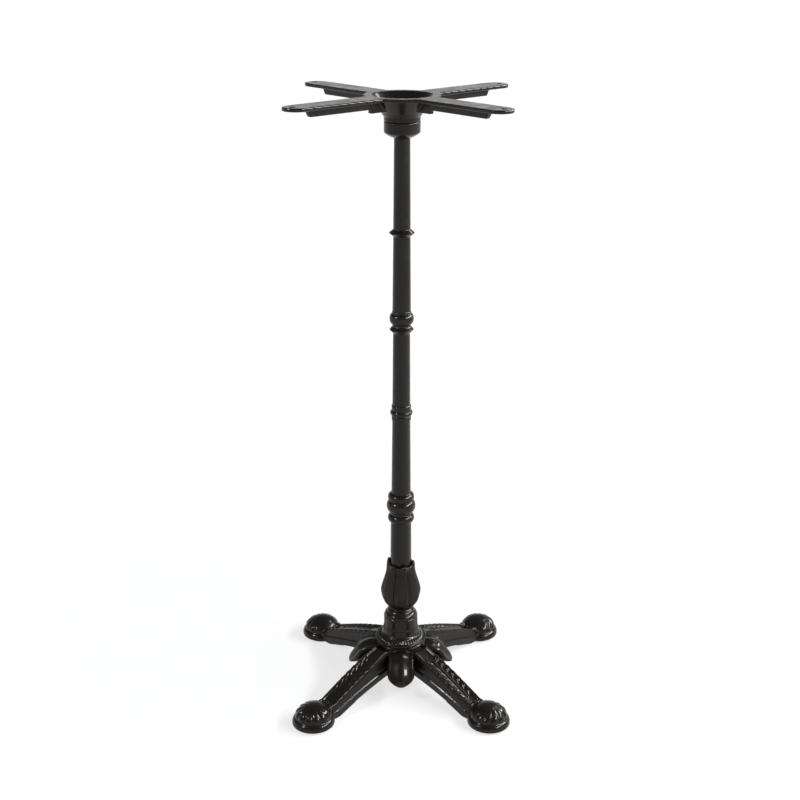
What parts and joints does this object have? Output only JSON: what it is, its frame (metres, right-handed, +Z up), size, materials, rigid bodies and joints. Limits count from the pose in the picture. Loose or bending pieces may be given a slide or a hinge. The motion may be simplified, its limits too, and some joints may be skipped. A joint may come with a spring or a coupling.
{
  "type": "pedestal table base",
  "caption": "Bar-height cast-iron pedestal table base with paw feet on levelling glides, a ringed column and a cross-shaped bracket for a table top.",
  "frame": {"origin": "on the floor, on the column's axis", "axes": "+Z up the column; +X and +Y each run between two legs, which stand at 45 degrees to them"},
  "size_m": [0.3872, 0.3872, 1.08],
  "materials": {
    "black_enamel": "gloss black stoved enamel over iron castings",
    "zinc_steel": "bright zinc plate",
    "black_plastic": "moulded black plastic"
  },
  "bodies": {
    "stand": {"base_casting": "black_enamel", "flange_collar": "black_enamel", "leaf_vase": "black_enamel", "column_foot": "black_enamel", "column_lower": "black_enamel", "column_upper": "black_enamel", "top_collar": "black_enamel", "spider": "black_enamel", "tie_rod": "zinc_steel", "top_nut": "zinc_steel", "top_washer": "zinc_steel", "bottom_nut": "zinc_steel", "bottom_washer": "zinc_steel"},
    "pad_rear_right": {"glide_pad_rear_right": "black_plastic"},
    "stud_rear_right": {"glide_stud_rear_right": "zinc_steel"},
    "pad_rear_left": {"glide_pad_rear_left": "black_plastic"},
    "stud_rear_left": {"glide_stud_rear_left": "zinc_steel"},
    "pad_front_left": {"glide_pad_front_left": "black_plastic"},
    "stud_front_left": {"glide_stud_front_left": "zinc_steel"},
    "pad_front_right": {"glide_pad_front_right": "black_plastic"},
    "stud_front_right": {"glide_stud_front_right": "zinc_steel"}
  },
  "joints": [
    {"name": "glide_travel_rear_right", "type": "slide", "parent": "stand", "child": "pad_rear_right", "axis": [0, 0, -1], "range_m": [-0.004, 0.008]},
    {"name": "glide_turn_rear_right", "type": "hinge", "parent": "pad_rear_right", "child": "stud_rear_right", "pos_m": [0.15556, 0.15556, 0], "axis": [0, 0, -1], "range_deg": [-1150, 2300]},
    {"name": "glide_travel_rear_left", "type": "slide", "parent": "stand", "child": "pad_rear_left", "axis": [0, 0, -1], "range_m": [-0.004, 0.008]},
    {"name": "glide_turn_rear_left", "type": "hinge", "parent": "pad_rear_left", "child": "stud_rear_left", "pos_m": [-0.15556, 0.15556, 0], "axis": [0, 0, -1], "range_deg": [-1150, 2300]},
    {"name": "glide_travel_front_left", "type": "slide", "parent": "stand", "child": "pad_front_left", "axis": [0, 0, -1], "range_m": [-0.004, 0.008]},
    {"name": "glide_turn_front_left", "type": "hinge", "parent": "pad_front_left", "child": "stud_front_left", "pos_m": [-0.15556, -0.15556, 0], "axis": [0, 0, -1], "range_deg": [-1150, 2300]},
    {"name": "glide_travel_front_right", "type": "slide", "parent": "stand", "child": "pad_front_right", "axis": [0, 0, -1], "range_m": [-0.004, 0.008]},
    {"name": "glide_turn_front_right", "type": "hinge", "parent": "pad_front_right", "child": "stud_front_right", "pos_m": [0.15556, -0.15556, 0], "axis": [0, 0, -1], "range_deg": [-1150, 2300]}
  ],
  "couplings": [
    {"joint": "glide_travel_rear_right", "follows": "glide_turn_rear_right", "m_per_rad": 0.00019894},
    {"joint": "glide_travel_rear_left", "follows": "glide_turn_rear_left", "m_per_rad": 0.00019894},
    {"joint": "glide_travel_front_left", "follows": "glide_turn_front_left", "m_per_rad": 0.00019894},
    {"joint": "glide_travel_front_right", "follows": "glide_turn_front_right", "m_per_rad": 0.00019894}
  ]
}
